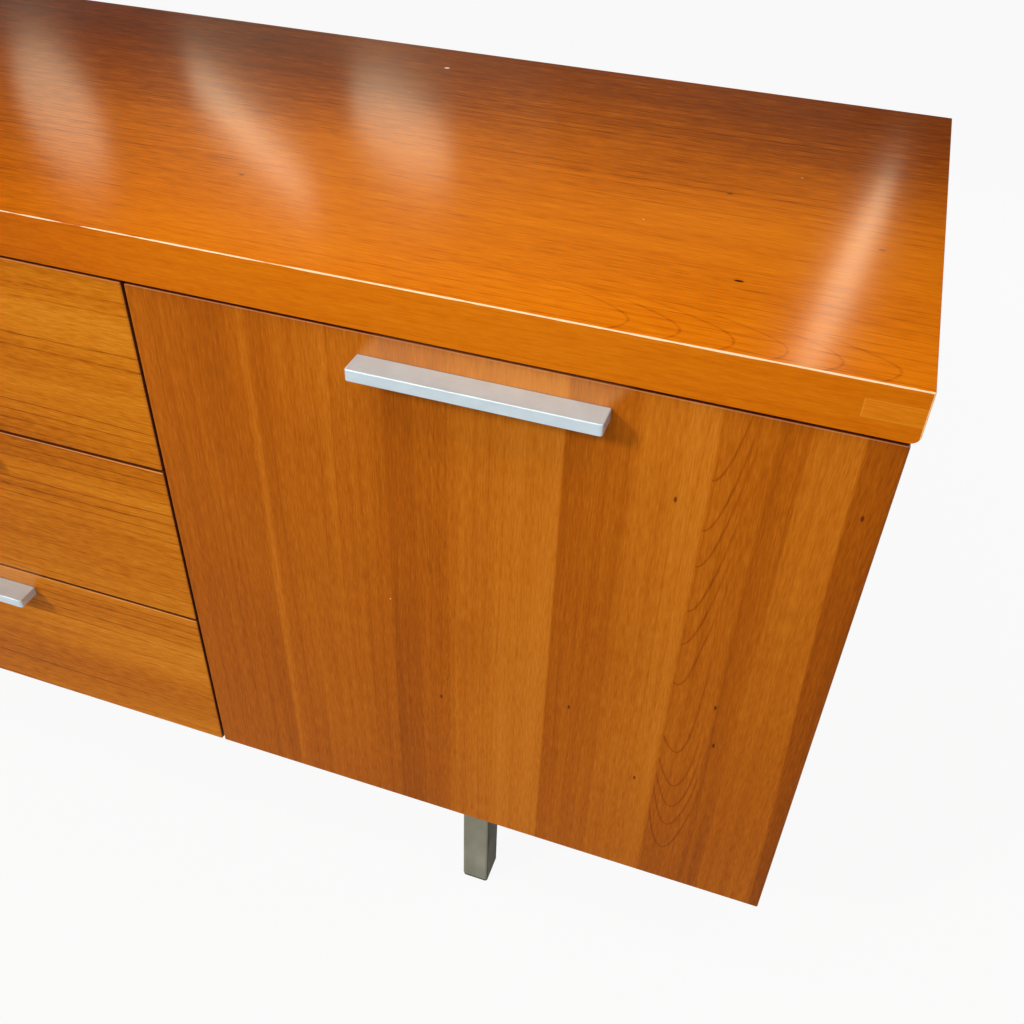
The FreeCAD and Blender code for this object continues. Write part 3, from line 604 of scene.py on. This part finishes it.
def floor_material():
    """A pale floor that is seen near white and still takes the shadow."""
    material = bpy.data.materials.new("studio_floor")
    material.use_nodes = True
    tree = material.node_tree
    tree.nodes.clear()
    path = tree.nodes.new("ShaderNodeLightPath")
    seen = path.outputs["Is Camera Ray"]
    for name in ("Is Glossy Ray", "Is Transmission Ray"):
        either = tree.nodes.new("ShaderNodeMath")
        either.operation = "MAXIMUM"
        tree.links.new(seen, either.inputs[0])
        tree.links.new(path.outputs[name], either.inputs[1])
        seen = either.outputs[0]
    amount = tree.nodes.new("ShaderNodeMath")
    amount.operation = "MULTIPLY"
    tree.links.new(seen, amount.inputs[0])
    amount.inputs[1].default_value = FLOOR_WHITE
    matt = tree.nodes.new("ShaderNodeBsdfDiffuse")
    matt.inputs["Color"].default_value = grey(FLOOR_GREY)
    glow = tree.nodes.new("ShaderNodeEmission")
    glow.inputs["Color"].default_value = grey(1.0)
    blend = tree.nodes.new("ShaderNodeMixShader")
    tree.links.new(amount.outputs[0], blend.inputs["Fac"])
    tree.links.new(matt.outputs[0], blend.inputs[1])
    tree.links.new(glow.outputs[0], blend.inputs[2])
    output = tree.nodes.new("ShaderNodeOutputMaterial")
    tree.links.new(blend.outputs[0], output.inputs["Surface"])
    return material


def make_floor():
    mesh = bpy.data.meshes.new("studio_floor")
    corners = [(x * FLOOR_HALF, y * FLOOR_HALF, 0.0) for x, y in ((-1, -1), (1, -1), (1, 1), (-1, 1))]
    mesh.from_pydata(corners, [], [(0, 1, 2, 3)])
    mesh.materials.append(floor_material())
    floor = bpy.data.objects.new("studio_floor", mesh)
    bpy.context.scene.collection.objects.link(floor)


def make_lamp(name, place, aim, width, height, watts, colour, shape="RECTANGLE", lean=0.0):
    """A flat lamp at a place that faces an aim point, leans by degrees and isn't seen by the camera."""
    light = bpy.data.lights.new(name, "AREA")
    light.shape = shape
    light.size = width
    light.size_y = height
    light.energy = watts
    light.color = colour
    lamp = bpy.data.objects.new(name, light)
    place = Vector(place)
    turn = (Vector(aim) - place).to_track_quat("-Z", "Y")
    roll = Matrix.Rotation(math.radians(lean), 4, "Z")
    lamp.matrix_world = Matrix.Translation(place) @ turn.to_matrix().to_4x4() @ roll
    lamp.visible_camera = False
    bpy.context.scene.collection.objects.link(lamp)
    return lamp


# Soft lamps: name, place, the point it faces, width, height, watts
LAMPS = [
    ("key_lamp", (-1.98, -2.88, 2.9), (0.4, -0.2, 0.5), 0.65, 0.65, 95.0),
    ("panel_lamp", (-0.04, -2.33, 2.48), (0.55, -0.25, 0.65), 1.0, 0.6, 8.0),
    ("edge_lamp", (0.62, -0.45, 1.3), (0.62, -0.25, 0.76), 0.8, 0.25, 2.6),
    ("back_lamp", (-0.2, 2.4, 0.5), (0.0, 0.28, 0.4), 1.6, 0.5, 8.0),
    ("end_lamp", (2.6, 1.2, 0.69), (0.9, 0.0, 0.4), 1.0, 0.1, 16.0),
]

# Lamps behind the sideboard that its top mirrors as streaks or, the wide ones, as a faint glow: azimuth from
# the back, the point that shows the streak, lamp elevation, width, height, lean to the right, radiance
STREAKS = [
    (-41.2, (0.112, -0.059), 18.3, 0.24, 0.52, 14.0, 5.4),
    (-32.0, (0.296, -0.027), 20.3, 0.08, 0.70, 38.0, 16.0),
    (-24.2, (0.415, 0.034), 19.9, 0.26, 0.50, 44.0, 6.8),
    (-28.0, (0.350, 0.000), 20.0, 1.8, 1.0, 0.0, 0.3),
    (-18.0, (0.460, 0.000), 20.0, 2.8, 1.3, 0.0, 0.3),
    (0.5, (0.829, -0.071), 28.0, 0.10, 1.2, -9.0, 17.0),
]
STREAK_DISTANCE = 3.2
WARM_WHITE = (1.0, 0.88, 0.6)
STUDIO_WHITE = (1.0, 0.97, 0.92)


def make_lamps():
    for name, place, aim, width, height, watts in LAMPS:
        make_lamp(name, place, aim, width, height, watts, STUDIO_WHITE)
    for index, (azimuth, point, elevation, width, height, lean, radiance) in enumerate(STREAKS):
        turn = math.radians(azimuth)
        x = point[0] + STREAK_DISTANCE * math.sin(turn)
        y = point[1] + STREAK_DISTANCE * math.cos(turn)
        z = TOP_FACE + STREAK_DISTANCE * math.tan(math.radians(elevation))
        area = math.pi / 4 * width * height
        watts = math.pi * radiance * area
        name = f"streak_lamp_{index + 1}"
        lamp = make_lamp(name, (x, y, z), (*point, z), width, height, watts, WARM_WHITE, "ELLIPSE", lean)
        lamp.visible_diffuse = False


# World: its level by the sine of the elevation, pale at the horizon, dark above it and brighter overhead
WORLD_STOPS = [(0.0, 0.95), (0.15, 0.92), (0.27, 0.07), (0.60, 0.09), (0.86, 0.50), (1.0, 0.56)]


def make_world():
    world = bpy.data.worlds.new("studio")
    world.use_nodes = True
    tree = world.node_tree
    direction = tree.nodes.new("ShaderNodeTexCoord")
    split = tree.nodes.new("ShaderNodeSeparateXYZ")
    tree.links.new(direction.outputs["Generated"], split.inputs[0])
    ramp = tree.nodes.new("ShaderNodeValToRGB")
    set_stops(ramp, [(place, grey(level)) for place, level in WORLD_STOPS])
    tree.links.new(split.outputs["Z"], ramp.inputs["Fac"])
    tree.links.new(ramp.outputs["Color"], tree.nodes["Background"].inputs["Color"])
    bpy.context.scene.world = world


def make_camera():
    data = bpy.data.cameras.new("photo_camera")
    data.lens = CAMERA_LENS
    data.sensor_width = CAMERA_SENSOR
    camera = bpy.data.objects.new("photo_camera", data)
    turn = (CAMERA_AIM - CAMERA_PLACE).to_track_quat("-Z", "Y").to_matrix().to_4x4()
    camera.matrix_world = Matrix.Translation(CAMERA_PLACE) @ turn @ Matrix.Rotation(CAMERA_ROLL, 4, "Z")
    bpy.context.scene.collection.objects.link(camera)
    bpy.context.scene.camera = camera


make_floor()
make_lamps()
make_world()
make_camera()
bpy.context.scene.view_settings.view_transform = "Standard"
